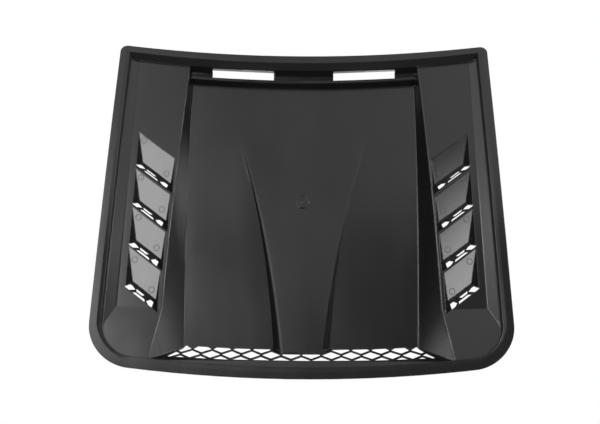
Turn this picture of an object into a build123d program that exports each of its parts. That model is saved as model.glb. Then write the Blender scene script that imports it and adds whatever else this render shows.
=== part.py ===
from build123d import *
import math
import os

# Bonnet scoop: one thin moulding with a bonding rim, a pan, a central hood with a
# raked honeycomb mouth, and a row of louvred gills in the tray on each side.
# X runs across the car, -Y to the front and +Z up from the bonnet. Lengths are in millimetres
# and angles in degrees. Sizes are those of the outer skin, and heights stand on the crowned bonnet.

# Plan of the panel
panel_length = 812.0
front_width = 895.0
rear_narrowing = 15.0
front_bow = 24.0
rear_bow = 8.0
side_bow = 2.0
front_corner_radius = 95.0
rear_corner_radius = 18.0

# Crown of the bonnet, and the moulded wall
crown_radius = 2870.0
wall = 3.0

# Bonding rim and pan, whose front facet starts this far behind the front edge
rim_width = 20.0
rim_height = 16.0
rim_draft = 3.0
strip_width = 27.0
tray_height = 23.0
facet_gap = 156.0
facet_angle = 7.8

# Rear wall with its shelf and the two slots behind it, by their gaps to the rear edge
rear_wall_gap = 25.0
rear_lean = 20.0
shelf_height = 43.0
shelf_gap = 58.0
slot_gap = 51.0
slot_width = 15.7
slot_near_x = 73.0
slot_side_gap = 52.5
slot_tilt = 1.0

# Hood on three stations, by its foot's gap to the panel's side and the lean of its flank
hood_rear_station_gap = 6.0
hood_middle_station = 40.0
hood_front_station_gap = 16.0
hood_rear_foot_gap = 172.0
hood_middle_foot_gap = 152.0
hood_front_foot_gap = 142.5
hood_rear_lean = 1.0
hood_middle_lean = 25.5
hood_front_lean = 52.0
hood_rear_gap = 66.0
hood_front_gap = 84.0
hood_rear_height = 61.0
hood_front_height = 68.0

# Valley along the middle of the hood, as floor half widths and depths on three stations
valley_rear_gap = 176.0
valley_middle_station = -46.0
valley_front_gap = 6.0
valley_rear_half = 160.0
valley_middle_half = 88.0
valley_front_half = 37.0
valley_rear_depth = -1.5
valley_middle_depth = 12.0
valley_front_depth = 37.0
valley_wall_angle = 27.0

# Raked mouth with its honeycomb, whose cells are drawn in plan
mouth_rake = 36.3
mouth_bow_radius = 6200.0
mouth_frame = 2.8
mouth_lip = 1.2
mouth_side_frame = 3.5
mouth_tip_frame = 37.0
cell_pitch = 43.0
cell_edge = 6.0
cell_slope = 13.5
cell_bar = 4.8
cell_rib = 6.2
cell_row_gap = 61.0
cell_count = 17

# Row of gills between its two ends on the tray. Each gill is a slat that rises to the front
# over a raked opening with cells drawn in plan
gill_count = 4
gill_rear_gap = 222.5
gill_front_gap = 201.5
gill_side_gap = 61.5
gill_span = 90.5
gill_inner_step = 4.7
gill_sweep = 36.8
gill_rise = 19.0
gill_mouth_run = 30.0
gill_spacing = 4.5
slat_step = 1.55
gill_outer_draft = 30.0
gill_inner_draft = 24.0
gill_depth = 10.0

# Cells of the rearmost gill. Each corner is a run along the gill's edge and a share of the
# cells' height. The gills ahead have higher cells, which are drawn in past the hinge
gill_frame = 11.4
gill_cell_height = 12.8
gill_cell_step = 1.5
gill_cell_hinge = 28.5
gill_cell_taper = 0.08
gill_cells_drawn = (
    ((0.0, 0.0), (12.5, 1.0), (19.0, 1.0), (28.5, 0.75), (13.5, 0.0)),
    ((31.0, 1.0), (62.0, 1.0), (54.0, 0.62), (33.0, 0.62)),
    ((22.0, 0.0), (66.5, 0.0), (64.5, 0.4), (31.0, 0.4)),
    ((71.0, 0.35), (82.5, 1.0), (95.0, 1.0), (92.5, 0.0), (80.0, 0.0)),
)

# Gate boss inside the hood
gate_y = 29.0
gate_floor = 53.5
gate_diameter = 32.0
gate_height = 2.5
nub_diameter = 9.0
nub_height = 2.0

# Rounded edges
roof_radius = 4.0
foot_radius = 3.0
inner_radius = 2.0
inner_foot_radius = 4.0
shelf_radius = 2.0
strip_radius = 12.0

# Working reach that clears the part on every side
reach = 600.0

# What the sizes above come to where the mouth meets the roof, the valley and the front facet
valley_mouth_half = 46.0
valley_mouth_depth = 32.0
mouth_top_gap = 192.5
mouth_foot_gap = 125.5
mouth_foot_height = 4.0
mouth_tip_height = 7.2

# Places that follow from the sizes
half_width = front_width / 2
front_y = -panel_length / 2
rear_y = panel_length / 2
crown_rise = crown_radius - math.sqrt(crown_radius**2 - half_width**2)
facet_y = front_y + facet_gap
rear_wall_y = rear_y - rear_wall_gap
shelf_front_y = rear_y - shelf_gap
slot_front_y = rear_y - slot_gap
hood_rear_y = rear_y - hood_rear_gap
hood_front_y = front_y + hood_front_gap
hood_stations = (
    rear_y - hood_rear_station_gap,
    hood_middle_station,
    front_y + hood_front_station_gap,
)
hood_feet = (
    half_width - hood_rear_foot_gap,
    half_width - hood_middle_foot_gap,
    half_width - hood_front_foot_gap,
)
hood_tops = (
    hood_feet[0] - hood_rear_lean,
    hood_feet[1] - hood_middle_lean,
    hood_feet[2] - hood_front_lean,
)
slot_far_x = hood_feet[0] - slot_side_gap
valley_stations = (rear_y - valley_rear_gap, valley_middle_station, front_y + valley_front_gap)
valley_halves = (valley_rear_half, valley_middle_half, valley_front_half)
valley_depths = (valley_rear_depth, valley_middle_depth, valley_front_depth)
cell_row_y = front_y + cell_row_gap
mouth_top_half = half_width - mouth_top_gap
mouth_foot_half = half_width - mouth_foot_gap
gill_outer_x = half_width - gill_side_gap
gill_inner_x = gill_outer_x - gill_span
gill_rear_y = rear_y - gill_rear_gap
gill_pitch = (panel_length - gill_rear_gap - gill_front_gap) / gill_count
slat_length = gill_pitch - gill_mouth_run - gill_spacing


def crown_z(x, height):
    """Level at x of the surface that stands this far above the bonnet."""
    return crown_rise - crown_radius + math.sqrt((crown_radius + height) ** 2 - x**2)


def roof_height(y):
    """Height of the hood's roof at y."""
    rise = (hood_front_height - hood_rear_height) / (hood_rear_y - hood_front_y)
    return hood_rear_height + rise * (hood_rear_y - y)


def tangent(angle):
    return math.tan(math.radians(angle))


def cosine(angle):
    return math.cos(math.radians(angle))


def sine(angle):
    return math.sin(math.radians(angle))


def station(y):
    """Upright plane across the car at y, seen from the front."""
    return Plane.XZ.offset(-y)


def outline(side, rear):
    """Panel outline, drawn in at the sides and the front, and moved in at the rear."""
    rear_half = half_width - rear_narrowing / 2 - side
    front_half = half_width - side
    rear_corner = rear_y - rear
    front_corner = front_y + front_bow + side
    middle_half = (rear_half + front_half) / 2 + side_bow
    middle = (rear_corner + front_corner) / 2
    with BuildSketch() as plan:
        with BuildLine():
            rear_middle = (0, rear_corner - rear_bow)
            rear_end = (-rear_half, rear_corner)
            rear_edge = ThreePointArc((rear_half, rear_corner), rear_middle, rear_end)
            side_middle = (-middle_half, middle)
            side_edge = ThreePointArc(rear_edge @ 1, side_middle, (-front_half, front_corner))
            front_middle = (0, front_corner - front_bow)
            front_edge = ThreePointArc(side_edge @ 1, front_middle, (front_half, front_corner))
            ThreePointArc(front_edge @ 1, (middle_half, middle), rear_edge @ 0)
        make_face()
        fillet(plan.vertices().group_by(Axis.Y)[0], front_corner_radius - side)
    return plan.sketch


def flange_outline():
    """Outer outline of the bonding rim, with its rear corners rounded too."""
    with BuildSketch() as plan:
        add(outline(0, 0))
        fillet(plan.vertices().group_by(Axis.Y)[-1], rear_corner_radius)
    return plan.sketch


def crown_section(y, height, limit):
    """Section at y between the surface this far above the bonnet and a level limit."""
    with BuildSketch(station(y)) as section:
        with BuildLine():
            edge_z = crown_z(reach, height)
            crown = ThreePointArc((-reach, edge_z), (0, crown_z(0, height)), (reach, edge_z))
            Polyline(crown @ 1, (reach, limit), (-reach, limit), crown @ 0)
        make_face()
    return section.sketch


def ahead_of_wall(foot_y, foot_height, inset):
    """Side view of all that lies ahead of a rear wall, which leans forward from its foot."""
    foot_z = crown_z(0, foot_height)
    face_y = foot_y - inset / cosine(rear_lean)
    lean = tangent(rear_lean)
    with BuildSketch(Plane.YZ) as side_view:
        with BuildLine():
            Polyline(
                (face_y + (foot_z + reach) * lean, -reach),
                (face_y + (foot_z - reach) * lean, reach),
                (-2 * reach, reach),
                (-2 * reach, -reach),
                close=True,
            )
        make_face()
    return side_view.sketch


def behind_mouth(inset):
    """Plan at the base level of all that lies behind the raked and bowed mouth."""
    foot_y = hood_front_y - crown_z(0, hood_front_height) * tangent(mouth_rake)
    foot_y += inset / cosine(mouth_rake)
    with BuildSketch() as plan:
        with BuildLine():
            side_y = foot_y + mouth_bow(reach)
            mouth = ThreePointArc((-reach, side_y), (0, foot_y), (reach, side_y))
            Polyline(mouth @ 1, (reach, reach), (-reach, reach), mouth @ 0)
        make_face()
    return plan.sketch


def mouth_bow(x):
    """Distance that the bowed mouth falls back at x."""
    return mouth_bow_radius - math.sqrt(mouth_bow_radius**2 - x**2)


def pan(inset):
    """Pan with its sloping side strips, trays and front facet, drawn in by the inset."""
    rim_half = half_width - rim_width
    tray_half = rim_half - strip_width
    tray_z = crown_z(tray_half, tray_height)
    strip_slope = (tray_z - crown_z(rim_half, rim_height)) / strip_width
    strip_z = tray_z - (reach - tray_half) * strip_slope
    with BuildPart() as body:
        with BuildSketch(station(reach)):
            with BuildLine():
                tray_middle = (0, crown_z(0, tray_height))
                tray = ThreePointArc((-tray_half, tray_z), tray_middle, (tray_half, tray_z))
                Polyline(
                    tray @ 1,
                    (reach, strip_z),
                    (reach, -reach),
                    (-reach, -reach),
                    (-reach, strip_z),
                    tray @ 0,
                )
            make_face()
            if inset:
                offset(amount=-inset, kind=Kind.INTERSECTION)
        extrude(amount=2 * reach, dir=(0, -1, 0))
        facet = crown_section(facet_y, tray_height - inset, reach)
        extrude(facet, amount=reach, dir=(0, -1, -tangent(facet_angle)), mode=Mode.SUBTRACT)
        plan = outline(rim_width + inset, -reach / 10)
        extrude(plan, amount=reach, dir=(0, 0, 1), taper=rim_draft, mode=Mode.INTERSECT)
        extrude(ahead_of_wall(rear_wall_y, 0, inset), amount=reach, both=True, mode=Mode.INTERSECT)
    return body.part


def hood_flanks(inset):
    """Upright wedge between the two flaring flanks of the hood."""
    with BuildPart() as body:
        for y, foot, top in zip(hood_stations, hood_feet, hood_tops):
            foot_z = crown_z(foot, tray_height)
            top_z = crown_z(top, roof_height(y))
            slope = (top - foot) / (top_z - foot_z)
            low_half = foot + slope * (-reach / 4 - foot_z)
            high_half = foot + slope * (reach / 4 - foot_z)
            with BuildSketch(station(y)):
                with BuildLine():
                    Polyline(
                        (-low_half, -reach / 4),
                        (low_half, -reach / 4),
                        (high_half, reach / 4),
                        (-high_half, reach / 4),
                        close=True,
                    )
                make_face()
                if inset:
                    offset(amount=-inset, kind=Kind.INTERSECTION)
        loft()
    return body.part


def valley(inset):
    """Tapering valley that is taken out of the hood's roof."""
    with BuildPart() as body:
        for y, half, depth in zip(valley_stations, valley_halves, valley_depths):
            floor = roof_height(y) - depth
            floor_z = crown_z(half, floor)
            high_half = half + (reach / 4 - floor_z) * tangent(valley_wall_angle)
            with BuildSketch(station(y)):
                with BuildLine():
                    base = ThreePointArc((-half, floor_z), (0, crown_z(0, floor)), (half, floor_z))
                    Polyline(base @ 1, (high_half, reach / 4), (-high_half, reach / 4), base @ 0)
                make_face()
                if inset:
                    offset(amount=inset, kind=Kind.INTERSECTION)
        loft()
    return body.part


def hood(inset):
    """Hood with its roof, shelf, rear walls, raked mouth, flanks and valley."""
    roof = crown_section(reach, roof_height(reach) - inset, -reach)
    shelf = crown_section(reach, shelf_height - inset, -reach)
    roof_rise = (roof_height(-reach) - roof_height(reach)) / (2 * reach)
    hood_end = ahead_of_wall(shelf_front_y, shelf_height, inset)
    mouth_dir = (0, sine(mouth_rake), cosine(mouth_rake))
    with BuildPart() as body:
        extrude(roof, amount=2 * reach, dir=(0, -1, roof_rise))
        extrude(hood_end, amount=reach, both=True, mode=Mode.INTERSECT)
        extrude(shelf, amount=2 * reach, dir=(0, -1, 0))
        extrude(ahead_of_wall(rear_wall_y, 0, inset), amount=reach, both=True, mode=Mode.INTERSECT)
        extrude(behind_mouth(inset), amount=reach, dir=mouth_dir, mode=Mode.INTERSECT)
        add(hood_flanks(inset), mode=Mode.INTERSECT)
        add(valley(inset), mode=Mode.SUBTRACT)
        below = crown_section(reach, wall / 2, -reach)
        extrude(below, amount=2 * reach, dir=(0, -1, 0), mode=Mode.SUBTRACT)
    return body.part


def gill_edge():
    """Run of a gill's rear edge on the tray, from its outer end to its inner end."""
    span = gill_outer_x - gill_inner_x
    fall = crown_z(gill_inner_x, tray_height) - crown_z(gill_outer_x, tray_height)
    return Vector(-span, -span * tangent(gill_sweep), fall)


def slat_run(index):
    """Length of a gill's slat in plan, which grows to the front."""
    return slat_length + index * slat_step


def gill(index, inset):
    """One louvre on the tray, a wedge that rises to the front."""
    edge = gill_edge()
    rear_y_here = gill_rear_y - index * gill_pitch
    inner_x = gill_inner_x + index * gill_inner_step
    outer_z = crown_z(gill_outer_x, tray_height)
    inner_z = crown_z(inner_x, tray_height)
    run = slat_run(index)
    crest_y = rear_y_here - run
    base = gill_rise + gill_depth
    top = 2 * gill_rise
    with BuildPart() as body:
        with BuildSketch(Plane.YZ.offset(gill_outer_x)) as wedge:
            with BuildLine():
                Polyline(
                    (crest_y, outer_z + gill_rise),
                    (crest_y + base * run / gill_rise, outer_z - gill_depth),
                    (crest_y - base * gill_mouth_run / gill_rise, outer_z - gill_depth),
                    close=True,
                )
            make_face()
            if inset:
                offset(amount=-inset, kind=Kind.INTERSECTION)
        extrude(wedge.sketch.moved(Location(-edge)), amount=3 * edge.length, dir=edge)
        with BuildSketch(Plane.XZ) as front_view:
            with BuildLine():
                Polyline(
                    (inner_x - gill_depth * tangent(gill_inner_draft), inner_z - gill_depth),
                    (gill_outer_x + gill_depth * tangent(gill_outer_draft), outer_z - gill_depth),
                    (gill_outer_x - top * tangent(gill_outer_draft), outer_z + top),
                    (inner_x + top * tangent(gill_inner_draft), inner_z + top),
                    close=True,
                )
            make_face()
            if inset:
                offset(amount=-inset, kind=Kind.INTERSECTION)
        extrude(front_view.sketch, amount=reach, both=True, mode=Mode.INTERSECT)
    return body.part


def gills(inset):
    """All louvres of both trays."""
    with BuildPart() as rows:
        for index in range(gill_count):
            add(gill(index, inset))
        mirror(about=Plane.YZ)
    return rows.part


def mouth_y(x, height):
    """Place in plan of the mouth's inner face at x and this height."""
    front = hood_front_y - (hood_front_height - height) * tangent(mouth_rake)
    return front + mouth_bow(x) + wall / cosine(mouth_rake)


def mouth_window():
    """Plan of the part of the mouth that the honeycomb fills."""
    roof = hood_front_height - wall
    floor = roof - valley_mouth_depth
    foot = mouth_foot_height
    floor_half = valley_mouth_half + mouth_frame
    roof_near = floor_half + valley_mouth_depth * tangent(valley_wall_angle)
    roof_far = mouth_top_half - mouth_side_frame
    roof_middle = (roof_near + roof_far) / 2
    tip_half = mouth_foot_half - mouth_tip_frame
    foot_middle = (floor_half + tip_half) / 2
    with BuildSketch() as window:
        with BuildLine():
            Polyline(
                (0, mouth_y(0, foot)),
                (0, mouth_y(0, floor) + mouth_lip),
                (floor_half, mouth_y(floor_half, floor) + mouth_lip),
                (roof_near, mouth_y(roof_near, roof) - mouth_frame),
                (roof_middle, mouth_y(roof_middle, roof) - mouth_frame),
                (roof_far, mouth_y(roof_far, roof) - mouth_frame),
                (tip_half, mouth_y(tip_half, mouth_tip_height)),
                (foot_middle, mouth_y(foot_middle, foot)),
                close=True,
            )
        make_face()
        mirror(about=Plane.YZ)
    return window.sketch


def honeycomb():
    """Plan of the mouth's cells, cut back to its window."""
    half = (cell_pitch - cell_bar) / 2
    slope_angle = math.degrees(math.atan2(cell_slope, cell_pitch / 2))
    tip = cell_edge / 2 + cell_slope - cell_rib / 2 / cosine(slope_angle)
    shoulder = tip - half * tangent(slope_angle)
    row_step = cell_edge + cell_slope
    with BuildSketch() as cell:
        with BuildLine():
            Polyline(
                (half, shoulder),
                (0, tip),
                (-half, shoulder),
                (-half, -shoulder),
                (0, -tip),
                (half, -shoulder),
                close=True,
            )
        make_face()
    with BuildSketch() as cells:
        with Locations((0, cell_row_y)):
            with GridLocations(cell_pitch, 2 * row_step, cell_count, 2):
                add(cell.sketch)
            with GridLocations(cell_pitch, row_step, cell_count + 1, 1):
                add(cell.sketch)
        add(mouth_window(), mode=Mode.INTERSECT)
    return cells.sketch


def gill_point(index, along, share):
    """Place in plan of a cell's corner on this gill."""
    run = along - max(0, along - gill_cell_hinge) * gill_cell_taper * index
    below = gill_frame + (1 - share) * (gill_cell_height + index * gill_cell_step)
    crest_y = gill_rear_y - index * gill_pitch - slat_run(index)
    return (gill_outer_x - run * cosine(gill_sweep), crest_y - below - run * sine(gill_sweep))


def gill_cells():
    """Plan of the cells of all gills."""
    with BuildSketch() as cells:
        for index in range(gill_count):
            for corners in gill_cells_drawn:
                points = [gill_point(index, along, share) for along, share in corners]
                with BuildLine():
                    Polyline(*points, close=True)
                make_face()
        mirror(about=Plane.YZ)
    return cells.sketch


def slots():
    """Plan of the two slots at the rear of the hood."""
    with BuildSketch() as plan:
        with Locations(((slot_near_x + slot_far_x) / 2, slot_front_y + slot_width / 2)):
            Rectangle(slot_far_x - slot_near_x, slot_width, rotation=slot_tilt)
        mirror(about=Plane.YZ)
    return plan.sketch


def edges_in(body, across, along, heights, least):
    """Edges at least this long whose middles lie in ranges of half width, length and height."""

    def chosen(edge):
        middle = edge @ 0.5
        height = middle.Z - crown_z(middle.X, 0)
        inside = across[0] <= abs(middle.X) <= across[1] and along[0] <= middle.Y <= along[1]
        return inside and heights[0] <= height <= heights[1] and edge.length >= least

    return body.edges().filter_by(chosen)


def hood_edges(body):
    """Upper edges round the hood's roof, apart from the valley."""
    heights = (shelf_height + 4 * wall, hood_front_height + wall)
    across = (valley_middle_half + cell_pitch / 2, gill_inner_x)
    edges = edges_in(body, across, (-reach, reach), heights, cell_pitch)
    along = (slot_front_y - cell_pitch, slot_front_y)
    return edges + edges_in(body, (0, 1), along, heights, cell_pitch)


def valley_edges(body):
    """Upper edges of the valley."""
    heights = (shelf_height + 4 * wall, hood_front_height + wall)
    across = (valley_mouth_half, valley_middle_half + cell_pitch / 2)
    return edges_in(body, across, (-reach, reach), heights, cell_pitch)


def mouth_edges(body):
    """Edges round the mouth below its roof."""
    heights = (tray_height, shelf_height + 4 * wall)
    return edges_in(body, (0, mouth_foot_half), (front_y, hood_front_y), heights, cell_pitch / 2)


def foot_edges(body):
    """Edges at the foot of the hood's flanks."""
    across = (hood_feet[0], mouth_foot_half)
    along = (hood_front_y, rear_y / 2)
    return edges_in(body, across, along, (2 * wall, tray_height + 1), 2 * cell_pitch)


def strip_edges(body):
    """Edges between the trays and their sloping side strips."""
    tray_half = half_width - rim_width - strip_width
    across = (tray_half - wall, tray_half + wall)
    return edges_in(body, across, (0, rear_y), (rim_height, tray_height + 1), 2 * cell_pitch)


def shelf_edges(body):
    """Edges along the shelf behind the hood."""
    heights = (shelf_height - 1.5 * wall, shelf_height + 1)
    return edges_in(body, (0, 1), (hood_rear_y, rear_y), heights, 2 * cell_pitch)


with BuildPart() as skin:
    extrude(crown_section(reach, wall, -reach), amount=2 * reach, dir=(0, -1, 0))
    extrude(flange_outline(), amount=reach, both=True, mode=Mode.INTERSECT)
    add(pan(0))
    add(hood(0))
    fillet(hood_edges(skin) + valley_edges(skin), roof_radius)
    fillet(foot_edges(skin), foot_radius)
    fillet(strip_edges(skin), strip_radius)
    fillet(shelf_edges(skin), shelf_radius)
    add(gills(0))

with BuildPart() as cavity:
    add(pan(wall))
    add(hood(wall))
    fillet(foot_edges(cavity), inner_foot_radius)
    fillet(hood_edges(cavity) + mouth_edges(cavity), inner_radius)
    fillet(strip_edges(cavity), strip_radius)
    fillet(shelf_edges(cavity), shelf_radius)
    add(gills(wall))

os.makedirs("parts", exist_ok=True)
with BuildPart() as scoop_panel:
    add(skin)
    add(cavity, mode=Mode.SUBTRACT)
    extrude(crown_section(reach, 0, -reach), amount=2 * reach, dir=(0, -1, 0), mode=Mode.SUBTRACT)
    for openings in (slots(), honeycomb(), gill_cells()):
        extrude(openings, amount=reach, both=True, mode=Mode.SUBTRACT)
    with BuildSketch(Plane.XY.offset(crown_z(0, gate_floor - gate_height))):
        with Locations((0, gate_y)):
            Circle(gate_diameter / 2)
    extrude(amount=gate_height + wall / 2, dir=(0, 0, 1))
    with BuildSketch(Plane.XY.offset(crown_z(0, gate_floor - gate_height - nub_height))):
        with Locations((0, gate_y)):
            Circle(nub_diameter / 2)
    extrude(amount=nub_height + wall / 2, dir=(0, 0, 1))
scoop_panel.part.label = "scoop_panel"
export_step(scoop_panel.part, "parts/scoop_panel.step")
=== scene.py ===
import math

import bpy
from mathutils import Matrix, Quaternion, Vector


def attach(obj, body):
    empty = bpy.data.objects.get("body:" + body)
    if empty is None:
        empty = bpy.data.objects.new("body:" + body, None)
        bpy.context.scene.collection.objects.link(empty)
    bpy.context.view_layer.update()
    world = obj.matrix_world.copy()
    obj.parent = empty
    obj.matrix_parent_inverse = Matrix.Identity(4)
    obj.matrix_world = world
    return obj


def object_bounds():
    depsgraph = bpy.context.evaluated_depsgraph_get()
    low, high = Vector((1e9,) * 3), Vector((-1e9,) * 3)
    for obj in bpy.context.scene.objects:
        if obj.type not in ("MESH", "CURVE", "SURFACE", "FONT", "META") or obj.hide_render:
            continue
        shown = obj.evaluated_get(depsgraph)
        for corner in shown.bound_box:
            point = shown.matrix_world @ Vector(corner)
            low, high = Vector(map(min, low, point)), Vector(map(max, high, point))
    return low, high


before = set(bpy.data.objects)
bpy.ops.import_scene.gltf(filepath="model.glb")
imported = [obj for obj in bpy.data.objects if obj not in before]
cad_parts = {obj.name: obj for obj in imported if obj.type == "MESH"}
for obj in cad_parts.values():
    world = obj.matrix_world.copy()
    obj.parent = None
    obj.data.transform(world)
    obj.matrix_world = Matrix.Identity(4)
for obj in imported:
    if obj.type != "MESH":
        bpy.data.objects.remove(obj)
cadLow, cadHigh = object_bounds()
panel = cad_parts["scoop_panel"]
print("frame loaded, box", [round(v, 4) for v in (*cadLow, *cadHigh)])

white = (1.0, 1.0, 1.0, 1.0)


# small helpers for node trees

def clearTree(owner):
    owner.use_nodes = True
    owner.node_tree.nodes.clear()
    return owner.node_tree


def addNode(tree, kind, x, y, label=None):
    node = tree.nodes.new(kind)
    node.location = (x, y)
    if label:
        node.label = label
    return node


def feed(tree, socket, value):
    # the output of another node is linked, a plain value is set
    if isinstance(value, bpy.types.NodeSocket):
        tree.links.new(value, socket)
    else:
        socket.default_value = value


def feedAll(tree, node, values):
    for socket, value in zip(node.inputs, values):
        feed(tree, socket, value)


def addMath(tree, operation, x, y, *values):
    node = addNode(tree, "ShaderNodeMath", x, y)
    node.operation = operation
    feedAll(tree, node, values)
    return node.outputs["Value"]


def addMeasure(tree, operation, x, y, *vectors):
    node = addNode(tree, "ShaderNodeVectorMath", x, y)
    node.operation = operation
    feedAll(tree, node, vectors)
    return node.outputs["Value"]


def addMix(tree, kind, x, y, factor, first, second, label=None):
    node = addNode(tree, "ShaderNodeMix", x, y, label)
    node.data_type = kind
    for name, value in (("Factor", factor), ("A", first), ("B", second)):
        feed(tree, node.inputs[name], value)
    return node.outputs["Result"]


def mixShaders(tree, x, y, factor, first, second):
    node = addNode(tree, "ShaderNodeMixShader", x, y)
    feedAll(tree, node, (factor, first, second))
    return node.outputs["Shader"]


# raised rings that the ejector pins leave on the underside of each gill slat

pinRing = {
    "radius": 0.0062,
    "halfLine": 0.0009,
    "height": 0.00018,
    "around": 48,
    "across": 10,
    # places in plan on the +X side, rear gill first
    "centres": [
        (0.3710, 0.1610), (0.3161, 0.0835),
        (0.3710, 0.0642), (0.3199, -0.0087),
        (0.3689, -0.0362), (0.3255, -0.1040),
        (0.3695, -0.1382), (0.3297, -0.2032),
    ],
}

# raised lip on the gate disc in the middle of the hood, and the stub of the runner on its nub

gateLip = {
    "centre": (0.0, 0.029),
    "radius": 0.0142,
    "halfLine": 0.0016,
    "height": 0.0008,
    "around": 72,
    "across": 12,
    # the level of the disc is taken this far beside the nub
    "aside": 0.009,
    "stubFoot": 0.0042,
    "stubTip": 0.0012,
    "stubHeight": 0.0014,
    "stubSunk": 0.0001,
    "stubAround": 32,
    "stubBevel": 0.0005,
    "bevelSteps": 3,
    "smoothAngle": 40.0,
    # edges of the panel this near to the gate stay crisp
    "clear": 0.024,
}

probeDrop = 0.1  # probes for the inside start this far below the rim


def insideAt(x, y):
    # point and normal of the inside, straight above a place in plan
    start = Vector((x, y, cadLow.z - probeDrop))
    found, place, normal, _ = panel.ray_cast(start, Vector((0.0, 0.0, 1.0)))
    if not found:
        raise RuntimeError(f"no wall above {x}, {y}")
    return place, normal


def layOnInside(piece, x, y, aside=0.0):
    # a shape drawn in plan is slid up and down to lie along the wall, as a pin leaves it
    place, normal = insideAt(x + aside, y)
    place.x = x
    lean = Matrix.Identity(4)
    lean[2][0] = -normal.x / normal.z
    lean[2][1] = -normal.y / normal.z
    piece.data.transform(Matrix.Translation(place) @ lean)


def copyOf(piece):
    twin = piece.copy()
    twin.data = piece.data.copy()
    bpy.context.scene.collection.objects.link(twin)
    return twin


def joinPieces(pieces, name, material):
    bpy.ops.object.select_all(action="DESELECT")
    for piece in pieces:
        piece.select_set(True)
    bpy.context.view_layer.objects.active = pieces[0]
    bpy.ops.object.join()
    joined = bpy.context.object
    joined.name = name
    joined.data.materials.clear()
    joined.data.materials.append(material)
    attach(joined, "root")


def lowRing(v):
    # ring of a flat oval section, half of it sunk into the wall
    bpy.ops.object.select_all(action="DESELECT")
    bpy.ops.mesh.primitive_torus_add(
        major_segments=v["around"], minor_segments=v["across"],
        major_radius=v["radius"], minor_radius=v["halfLine"], location=(0.0, 0.0, 0.0))
    ring = bpy.context.object
    bpy.ops.object.mode_set(mode="EDIT")
    bpy.ops.mesh.select_all(action="SELECT")
    bpy.ops.transform.resize(value=(1.0, 1.0, v["height"] / v["halfLine"]))
    bpy.ops.object.mode_set(mode="OBJECT")
    bpy.ops.object.shade_smooth()
    return ring


def makePinRings(material):
    pattern = lowRing(pinRing)
    rings = []
    for side in (1.0, -1.0):
        for x, y in pinRing["centres"]:
            ring = copyOf(pattern)
            layOnInside(ring, side * x, y)
            rings.append(ring)
    bpy.data.objects.remove(pattern)
    joinPieces(rings, "pinRings", material)


def makeGateLip(material):
    v = gateLip
    lip = lowRing(v)
    # the stub points down from the end of the nub
    bpy.ops.object.select_all(action="DESELECT")
    bpy.ops.mesh.primitive_cone_add(
        vertices=v["stubAround"], radius1=v["stubTip"], radius2=v["stubFoot"],
        depth=v["stubHeight"], location=(0.0, 0.0, v["stubSunk"] - v["stubHeight"] / 2))
    stub = bpy.context.object
    bpy.ops.object.transform_apply(location=True)
    bevel = stub.modifiers.new("softEdge", "BEVEL")
    bevel.width = v["stubBevel"]
    bevel.segments = v["bevelSteps"]
    bpy.ops.object.modifier_apply(modifier=bevel.name)
    bpy.ops.object.shade_smooth_by_angle(angle=math.radians(v["smoothAngle"]))
    layOnInside(lip, *v["centre"], v["aside"])
    layOnInside(stub, *v["centre"])
    joinPieces([lip, stub], "gateLip", material)


# shallow chamfer along the inner edge of the bonding rim, drawn from the rim's plan

rimChamfer = {
    "width": 0.0080,
    "fall": 0.00050,
    # inner edge at the sides: half width at midY, with its slope and curve per metre
    "midY": 0.0535,
    "halfWidth": 0.42275,
    "sideSlope": -0.00909,
    "sideCurve": -0.01175,
    # inner edge at the front and the rear: place at the middle and its bow
    "frontY": -0.3830,
    "frontBow": 0.1332,
    "frontCorner": 0.0720,
    "rearY": 0.3777,
    "rearBow": 0.0634,
}


def makeRimDepth(tree, along, side, sideSquared, x, y):
    # distance inwards from the rim's inner edge, below zero on the rim
    v = rimChamfer
    back = addMath(tree, "SUBTRACT", x, y, along, v["midY"])
    curve = addMath(tree, "MULTIPLY_ADD", x + 160, y, back, v["sideCurve"], v["sideSlope"])
    half = addMath(tree, "MULTIPLY_ADD", x + 320, y, back, curve, v["halfWidth"])
    sideDepth = addMath(tree, "SUBTRACT", x + 480, y, half, side)
    front = addMath(
        tree, "MULTIPLY_ADD", x + 160, y - 180, sideSquared, v["frontBow"], v["frontY"])
    frontDepth = addMath(tree, "SUBTRACT", x + 320, y - 180, along, front)
    rear = addMath(
        tree, "MULTIPLY_ADD", x + 160, y - 360, sideSquared, v["rearBow"], v["rearY"])
    rearDepth = addMath(tree, "SUBTRACT", x + 320, y - 360, rear, along)
    # rounded front corner
    short = []
    for index, depth in enumerate((sideDepth, frontDepth)):
        gap = addMath(tree, "SUBTRACT", x + 640, y - 180 * index, v["frontCorner"], depth)
        gap = addMath(tree, "MAXIMUM", x + 800, y - 180 * index, gap, 0.0)
        short.append(addMath(tree, "MULTIPLY", x + 960, y - 180 * index, gap, gap))
    reach = addMath(tree, "SQRT", x + 1280, y, addMath(tree, "ADD", x + 1120, y, *short))
    cornerDepth = addMath(tree, "SUBTRACT", x + 1440, y, v["frontCorner"], reach)
    return addMath(tree, "MINIMUM", x + 1600, y, cornerDepth, rearDepth)


# satin black plastic of the moulding, left and right as in the photo

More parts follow.
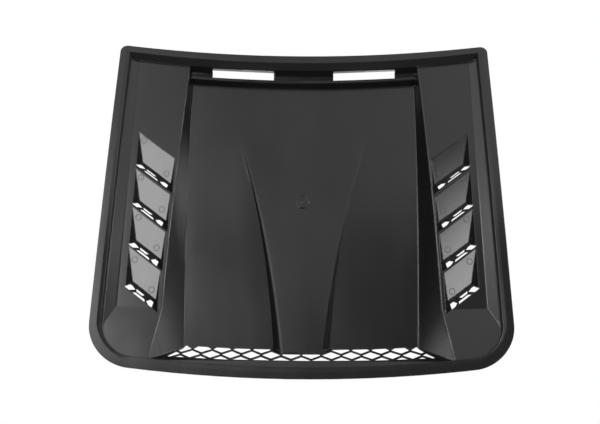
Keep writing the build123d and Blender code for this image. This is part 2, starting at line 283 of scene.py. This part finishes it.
satinBlack = {
    "colour": (0.0062, 0.0062, 0.0065, 1.0),
    "colourWorn": (0.0088, 0.0088, 0.0091, 1.0),
    "roughLow": 0.165,
    "roughHigh": 0.205,
    "specular": 0.5,
    # flow marks of the melt, and the part of their range that the roughness follows
    "flowScale": 7.0,
    "flowStretch": (1.6, 0.5, 1.0),
    "flowDetail": 4.0,
    "flowRoughness": 0.55,
    "flowLow": 0.3,
    "flowHigh": 0.7,
    "grainScale": 900.0,
    "grainDetail": 2.0,
    "grainDepth": 0.02,
    "grainDistance": 0.0004,
    # what sets the outer face and the wall inside the rim apart
    "outerColour": (0.0200, 0.0200, 0.0205, 1.0),
    "outerRough": 0.21,
    "outerGrain": 5.0,
    "wallRough": 0.60,
    # faces whose normal leans further down than this belong to the underside
    "underLimit": -0.5,
    # smoothed normals that agree less than this with their face are not used
    "strayLimit": 0.9945,
    "edgeSamples": 6,
    "edgeRadius": 0.0025,
    "hoodEdgeRadius": 0.0045,
    "hoodHalfWidth": 0.330,
    "ridgeEdgeRadius": 0.0080,
    "valleyHalfWidth": 0.150,
    # crisp: the roof above a line that falls to the front, the left flank, the right ridge
    "crispRadius": 0.0008,
    "ridgeTop": 0.0895,
    "ridgeSlope": 0.040,
    # round at the foot of the rim wall
    "footEdgeRadius": 0.0055,
    "footWidth": 0.0075,
    "rimEdgeRadius": 0.0025,
    "rimHeight": 0.006,
    # the bonnet under the rim rises to crownTop and falls by crownBow times x squared
    "crownTop": 0.0351,
    "crownBow": 0.1742,
}


def makeSatinGroup():
    v = satinBlack
    group = bpy.data.node_groups.new("satinGrain", "ShaderNodeTree")
    group.interface.new_socket("Place", in_out="INPUT", socket_type="NodeSocketVector")
    group.interface.new_socket("Tone", in_out="OUTPUT", socket_type="NodeSocketColor")
    group.interface.new_socket("Rough", in_out="OUTPUT", socket_type="NodeSocketFloat")
    group.interface.new_socket("Grain", in_out="OUTPUT", socket_type="NodeSocketFloat")
    groupIn = addNode(group, "NodeGroupInput", -1500, 0)
    groupOut = addNode(group, "NodeGroupOutput", 0, 0)

    # slow flow marks of the melt, drawn out along the car
    flowMap = addNode(group, "ShaderNodeMapping", -1250, 250)
    flowMap.inputs["Scale"].default_value = v["flowStretch"]
    group.links.new(groupIn.outputs["Place"], flowMap.inputs["Vector"])
    flow = addNode(group, "ShaderNodeTexNoise", -1050, 250, "flow marks")
    flow.inputs["Scale"].default_value = v["flowScale"]
    flow.inputs["Detail"].default_value = v["flowDetail"]
    flow.inputs["Roughness"].default_value = v["flowRoughness"]
    group.links.new(flowMap.outputs["Vector"], flow.inputs["Vector"])

    rough = addNode(group, "ShaderNodeMapRange", -800, 120, "satin")
    rough.inputs["From Min"].default_value = v["flowLow"]
    rough.inputs["From Max"].default_value = v["flowHigh"]
    rough.inputs["To Min"].default_value = v["roughLow"]
    rough.inputs["To Max"].default_value = v["roughHigh"]
    group.links.new(flow.outputs["Fac"], rough.inputs["Value"])
    group.links.new(rough.outputs["Result"], groupOut.inputs["Rough"])

    tone = addMix(
        group, "RGBA", -500, 320, flow.outputs["Fac"], v["colour"], v["colourWorn"], "tone")
    group.links.new(tone, groupOut.inputs["Tone"])

    # fine moulded grain
    grain = addNode(group, "ShaderNodeTexNoise", -1050, -150, "moulded grain")
    grain.inputs["Scale"].default_value = v["grainScale"]
    grain.inputs["Detail"].default_value = v["grainDetail"]
    group.links.new(groupIn.outputs["Place"], grain.inputs["Vector"])
    group.links.new(grain.outputs["Fac"], groupOut.inputs["Grain"])
    return group


def startSatin(name, group):
    material = bpy.data.materials.new(name)
    tree = clearTree(material)
    out = addNode(tree, "ShaderNodeOutputMaterial", 900, 0)
    plastic = addNode(tree, "ShaderNodeBsdfPrincipled", 600, 0)
    plastic.inputs["Specular IOR Level"].default_value = satinBlack["specular"]
    tree.links.new(plastic.outputs["BSDF"], out.inputs["Surface"])
    coords = addNode(tree, "ShaderNodeTexCoord", -1500, 0)
    satin = addNode(tree, "ShaderNodeGroup", -1050, 150)
    satin.node_tree = group
    tree.links.new(coords.outputs["Object"], satin.inputs["Place"])
    grained = addNode(tree, "ShaderNodeBump", 320, -200, "grain")
    grained.inputs["Strength"].default_value = satinBlack["grainDepth"]
    grained.inputs["Distance"].default_value = satinBlack["grainDistance"]
    tree.links.new(grained.outputs["Normal"], plastic.inputs["Normal"])
    return material, plastic, satin, grained, coords.outputs["Object"]


# the small marks have their own round edges, so they take the plain satin

def makeSatinMark(group):
    material, plastic, satin, grained, _ = startSatin("satinMark", group)
    links = material.node_tree.links
    links.new(satin.outputs["Tone"], plastic.inputs["Base Color"])
    links.new(satin.outputs["Rough"], plastic.inputs["Roughness"])
    links.new(satin.outputs["Grain"], grained.inputs["Height"])
    return material


def makeEdgeRadius(tree, place, side, sideSquared, rimDepth, onWall):
    v = satinBlack
    across, along, height = place
    inHood = addMath(tree, "LESS_THAN", -720, -2180, side, v["hoodHalfWidth"])
    inValley = addMath(tree, "LESS_THAN", -720, -2380, side, v["valleyHalfWidth"])
    onLeft = addMath(tree, "GREATER_THAN", -720, -2740, across, 0.0)
    onFoot = addMath(tree, "LESS_THAN", -520, -2180, rimDepth, v["footWidth"])
    lift = addMath(tree, "MULTIPLY_ADD", -900, -1900, sideSquared, v["crownBow"], height)
    onRim = addMath(tree, "LESS_THAN", -520, -1980, lift, v["crownTop"] + v["rimHeight"])
    fall = addMath(tree, "MULTIPLY_ADD", -720, -2580, along, v["ridgeSlope"], v["ridgeTop"])
    onRoof = addMath(tree, "GREATER_THAN", -520, -2580, height, fall)
    plan = addNode(tree, "ShaderNodeCombineXYZ", -900, -2380)
    feedAll(tree, plan, (side, along))
    gateGap = addMeasure(
        tree, "DISTANCE", -520, -2740, plan.outputs["Vector"], (*gateLip["centre"], 0.0))
    nearGate = addMath(tree, "LESS_THAN", -330, -2900, gateGap, gateLip["clear"])
    ridge = addMix(tree, "FLOAT", -330, -2480, onRoof, v["ridgeEdgeRadius"], v["crispRadius"])
    ridge = addMix(tree, "FLOAT", -330, -2620, onLeft, v["crispRadius"], ridge)
    flank = addMix(tree, "FLOAT", -330, -2760, onLeft, v["hoodEdgeRadius"], v["crispRadius"])
    radius = addMix(tree, "FLOAT", -510, -2080, onFoot, v["edgeRadius"], v["footEdgeRadius"])
    # each zone puts its own radius in place of the last one
    zones = (
        (inHood, flank), (inValley, ridge), (onRim, v["rimEdgeRadius"]),
        (nearGate, v["crispRadius"]), (onWall, v["crispRadius"]),
    )
    for index, (zone, own) in enumerate(zones):
        radius = addMix(tree, "FLOAT", -330 + 180 * index, -2080, zone, radius, own)
    return radius


def makeSatinBlack(group):
    v = satinBlack
    material, plastic, satin, grained, place = startSatin("satinBlack", group)
    tree = material.node_tree

    # distances from the middle of the car and from the rim's inner edge
    apart = addNode(tree, "ShaderNodeSeparateXYZ", -1250, -450)
    tree.links.new(place, apart.inputs["Vector"])
    side = addMath(tree, "ABSOLUTE", -1080, -450, apart.outputs["X"])
    sideSquared = addMath(tree, "MULTIPLY", -1080, -1900, side, side)
    rimDepth = makeRimDepth(tree, apart.outputs["Y"], side, sideSquared, -2400, -2900)

    # faces of the underside, of the outer side and of the wall inside the rim
    facing = addNode(tree, "ShaderNodeNewGeometry", -1250, -750)
    facingApart = addNode(tree, "ShaderNodeSeparateXYZ", -1080, -750)
    tree.links.new(facing.outputs["True Normal"], facingApart.inputs["Vector"])
    facingUp = facingApart.outputs["Z"]
    under = addMath(tree, "LESS_THAN", -300, -700, facingUp, v["underLimit"])
    outer = addMath(tree, "GREATER_THAN", -300, -1000, facingUp, 0.0)
    level = addMath(tree, "MAXIMUM", -150, -2240, under, outer)
    inward = addMath(tree, "SUBTRACT", 30, -2240, 1.0, level)
    nearRim = addMath(tree, "COMPARE", -520, -2340, rimDepth, 0.0, v["footWidth"])
    onWall = addMath(tree, "MULTIPLY", 210, -2240, nearRim, inward)

    # the outer face is grained, so it is duller than the inside
    tone = addMix(
        tree, "RGBA", -120, 320, outer, satin.outputs["Tone"], v["outerColour"],
        "inside and outer face")
    tree.links.new(tone, plastic.inputs["Base Color"])
    rough = addMath(
        tree, "MULTIPLY_ADD", -120, -1000, outer, v["outerRough"], satin.outputs["Rough"])
    rough = addMath(tree, "MULTIPLY_ADD", 390, -1000, onWall, v["wallRough"], rough)
    tree.links.new(rough, plastic.inputs["Roughness"])
    depth = addMath(tree, "MULTIPLY_ADD", -120, -1180, outer, v["outerGrain"], 1.0)
    grain = addMath(tree, "MULTIPLY", 60, -1180, satin.outputs["Grain"], depth)

    # rounded edges, then the rim chamfer, then grain
    # the wall inside the rim keeps its own face, so that it shows as a dark line
    rounded = addNode(tree, "ShaderNodeBevel", -150, -150, "rounded edges")
    rounded.samples = v["edgeSamples"]
    radius = makeEdgeRadius(tree, apart.outputs, side, sideSquared, rimDepth, onWall)
    tree.links.new(radius, rounded.inputs["Radius"])
    # plain face normals where the smoothed ones stray, at the front tips of the hood
    agree = addMeasure(
        tree, "DOT_PRODUCT", -330, -350, facing.outputs["Normal"], facing.outputs["True Normal"])
    strays = addMath(tree, "LESS_THAN", -150, -350, agree, v["strayLimit"])
    settled = addMix(
        tree, "VECTOR", 0, -250, strays, rounded.outputs["Normal"], facing.outputs["True Normal"])
    chamfer = addMath(tree, "DIVIDE", -150, -1500, rimDepth, -rimChamfer["width"])
    chamfer.node.use_clamp = True
    chamfer = addMath(tree, "MULTIPLY", 30, -1500, chamfer, under)
    eased = addNode(tree, "ShaderNodeBump", 100, -350, "rim chamfer")
    eased.inputs["Distance"].default_value = rimChamfer["fall"]
    tree.links.new(chamfer, eased.inputs["Height"])
    tree.links.new(settled, eased.inputs["Normal"])
    tree.links.new(grain, grained.inputs["Height"])
    tree.links.new(eased.outputs["Normal"], grained.inputs["Normal"])
    return material


panel.data.materials.clear()
satinGroup = makeSatinGroup()
panel.data.materials.append(makeSatinBlack(satinGroup))
print("satin black on the moulding")

satinMark = makeSatinMark(satinGroup)
makePinRings(satinMark)
makeGateLip(satinMark)
print("pin rings and gate lip on the inside")


# plain pale floor under the rim, solid from above only, so that the inside is lit through it
# the camera sees it fade out into the white room, light passes through it close to the panel

paleFloor = {
    "size": 14.0,
    "drop": 0.0004,
    "colour": (0.42, 0.42, 0.42, 1.0),
    "roughness": 0.7,
    "specular": 0.0,
    "glow": 0.46,
    "openRadius": 1.3,
    "fadeStart": 1.0,
    "fadeEnd": 2.6,
}


def makeFloor():
    v = paleFloor
    bpy.ops.object.select_all(action="DESELECT")
    bpy.ops.mesh.primitive_plane_add(size=v["size"], location=(0.0, 0.0, cadLow.z - v["drop"]))
    floor = bpy.context.object
    floor.name = "floor"
    material = bpy.data.materials.new("paleFloor")
    tree = clearTree(material)
    out = addNode(tree, "ShaderNodeOutputMaterial", 700, 0)
    clear = addNode(tree, "ShaderNodeBsdfTransparent", 250, 60)
    matt = addNode(tree, "ShaderNodeBsdfPrincipled", 150, -80)
    matt.inputs["Base Color"].default_value = v["colour"]
    matt.inputs["Roughness"].default_value = v["roughness"]
    matt.inputs["Specular IOR Level"].default_value = v["specular"]
    matt.inputs["Emission Color"].default_value = white
    matt.inputs["Emission Strength"].default_value = v["glow"]
    path = addNode(tree, "ShaderNodeLightPath", -500, 200)
    sides = addNode(tree, "ShaderNodeNewGeometry", -500, -100)
    coords = addNode(tree, "ShaderNodeTexCoord", -900, -300)
    away = addMeasure(tree, "LENGTH", -700, -300, coords.outputs["Object"])
    beyond = addMath(tree, "GREATER_THAN", -500, -300, away, v["openRadius"])
    fade = addNode(tree, "ShaderNodeMapRange", -500, -480)
    fade.interpolation_type = "SMOOTHSTEP"
    fade.inputs["From Min"].default_value = v["fadeStart"]
    fade.inputs["From Max"].default_value = v["fadeEnd"]
    fade.inputs["To Min"].default_value = 1.0
    fade.inputs["To Max"].default_value = 0.0
    tree.links.new(away, fade.inputs["Value"])
    above = addMath(tree, "SUBTRACT", -250, -50, 1.0, sides.outputs["Backfacing"])
    shown = addMix(
        tree, "FLOAT", -250, 150, path.outputs["Is Camera Ray"], beyond, fade.outputs["Result"])
    shown = addMath(tree, "MULTIPLY", -50, 150, shown, above)
    mixed = mixShaders(tree, 500, 0, shown, clear.outputs["BSDF"], matt.outputs["BSDF"])
    tree.links.new(mixed, out.inputs["Surface"])
    floor.data.materials.append(material)


makeFloor()
print("floor laid")


# white room, dim for everything but the camera

whiteRoom = {"light": 0.09, "seen": 1.0}


def makeRoom():
    world = bpy.data.worlds.new("whiteRoom")
    bpy.context.scene.world = world
    tree = clearTree(world)
    out = addNode(tree, "ShaderNodeOutputWorld", 600, 0)
    path = addNode(tree, "ShaderNodeLightPath", -100, 200)
    walls = []
    for name, y in (("light", 80), ("seen", -80)):
        wall = addNode(tree, "ShaderNodeBackground", 150, y, name)
        wall.inputs["Color"].default_value = white
        wall.inputs["Strength"].default_value = whiteRoom[name]
        walls.append(wall.outputs["Background"])
    mixed = mixShaders(tree, 400, 0, path.outputs["Is Camera Ray"], *walls)
    tree.links.new(mixed, out.inputs["Surface"])


# softboxes: place, size across and along the panel, turn about their own axis, watts
# the first ten light the inside from below, the others the outer face

softboxes = {
    "keyLeft": {"at": (1.30, -0.38, -2.30), "size": (0.95, 1.10), "turn": 0.0, "watts": 30.5},
    "keyRight": {"at": (-1.58, -0.75, -2.30), "size": (1.10, 1.10), "turn": 42.0, "watts": 35.5},
    "rearFillLeft": {"at": (1.02, 1.90, -2.30), "size": (1.84, 1.85), "turn": 0.0, "watts": 14.5},
    "rearFillRight": {"at": (-1.02, 1.90, -2.30), "size": (2.10, 1.85), "turn": 0.0, "watts": 12.5},
    "leftEdge": {"at": (0.53, 0.74, -2.30), "size": (0.44, 0.95), "turn": 10.0, "watts": 10.4},
    "leftFill": {"at": (1.40, 0.70, -2.30), "size": (0.80, 0.80), "turn": 0.0, "watts": 1.6},
    "rightFill": {"at": (-1.40, 0.80, -2.30), "size": (0.80, 0.80), "turn": 0.0, "watts": 1.9},
    "rightLow": {"at": (-2.00, 0.40, -0.50), "size": (1.20, 1.00), "turn": 0.0, "watts": 6.0},
    "rightSill": {"at": (-2.10, 0.95, -0.80), "size": (0.90, 1.30), "turn": 0.0, "watts": 19.0},
    "leftLow": {"at": (2.00, 0.22, -0.30), "size": (0.70, 0.45), "turn": 0.0, "watts": 2.4},
    "overhead": {"at": (0.50, -0.40, 2.40), "size": (3.20, 2.40), "turn": 0.0, "watts": 62.0},
    "sideLeft": {"at": (-2.40, -1.30, 1.60), "size": (2.60, 1.80), "turn": 0.0, "watts": 36.0},
    "sideRight": {"at": (2.60, -1.10, 1.40), "size": (2.60, 1.60), "turn": 0.0, "watts": 26.0},
    "rearRim": {"at": (-0.30, 2.70, 1.60), "size": (3.00, 1.40), "turn": 0.0, "watts": 20.0},
    "frontRim": {"at": (0.30, -2.80, 1.50), "size": (3.00, 1.40), "turn": 0.0, "watts": 18.0},
}


def makeSoftboxes():
    middle = (cadLow + cadHigh) / 2
    for name, box in softboxes.items():
        light = bpy.data.lights.new(name, "AREA")
        light.shape = "RECTANGLE"
        light.size, light.size_y = box["size"]
        light.energy = box["watts"]
        lamp = bpy.data.objects.new(name, light)
        bpy.context.scene.collection.objects.link(lamp)
        lamp.location = Vector(box["at"])
        back = (lamp.location - middle).normalized()
        along = back.cross(Vector((1.0, 0.0, 0.0))).normalized()
        facing = Matrix((along.cross(back), along, back)).transposed().to_quaternion()
        turn = Quaternion((0.0, 0.0, 1.0), math.radians(box["turn"]))
        lamp.rotation_mode = "QUATERNION"
        lamp.rotation_quaternion = facing @ turn
        lamp.visible_camera = False


makeRoom()
makeSoftboxes()
bpy.context.scene.view_settings.view_transform = "Standard"
print("room and softboxes set")


# camera below the panel, looking up into it with the mouth at the foot of the picture

photoView = {
    "focalPixels": 975.0,
    "pictureWidth": 600.0,
    "sensor": 36.0,
    "clip": (0.05, 50.0),
    "distance": 2.2,
    "turn": 1.175,
    "lift": 65.0,
    "roll": 0.562,
    "aim": (0.00522, -0.0206, 0.0353),
}


def makeCamera():
    v = photoView
    turn, lift, roll = (math.radians(v[k]) for k in ("turn", "lift", "roll"))
    flat = math.cos(lift)
    look = Vector((math.sin(turn) * flat, math.cos(turn) * flat, math.sin(lift)))
    across = look.cross(Vector((0.0, 1.0, 0.0))).normalized()
    upright = across.cross(look)
    right = across * math.cos(roll) + upright * math.sin(roll)
    up = upright * math.cos(roll) - across * math.sin(roll)
    data = bpy.data.cameras.new("photoView")
    data.sensor_width = v["sensor"]
    data.lens = v["focalPixels"] / v["pictureWidth"] * v["sensor"]
    data.clip_start, data.clip_end = v["clip"]
    camera = bpy.data.objects.new("photoView", data)
    bpy.context.scene.collection.objects.link(camera)
    axes = Matrix((right, up, -look)).transposed()
    camera.rotation_mode = "QUATERNION"
    camera.rotation_quaternion = axes.to_quaternion()
    camera.location = Vector(v["aim"]) - look * v["distance"]
    bpy.context.scene.camera = camera


makeCamera()
print("camera set")

print("done")
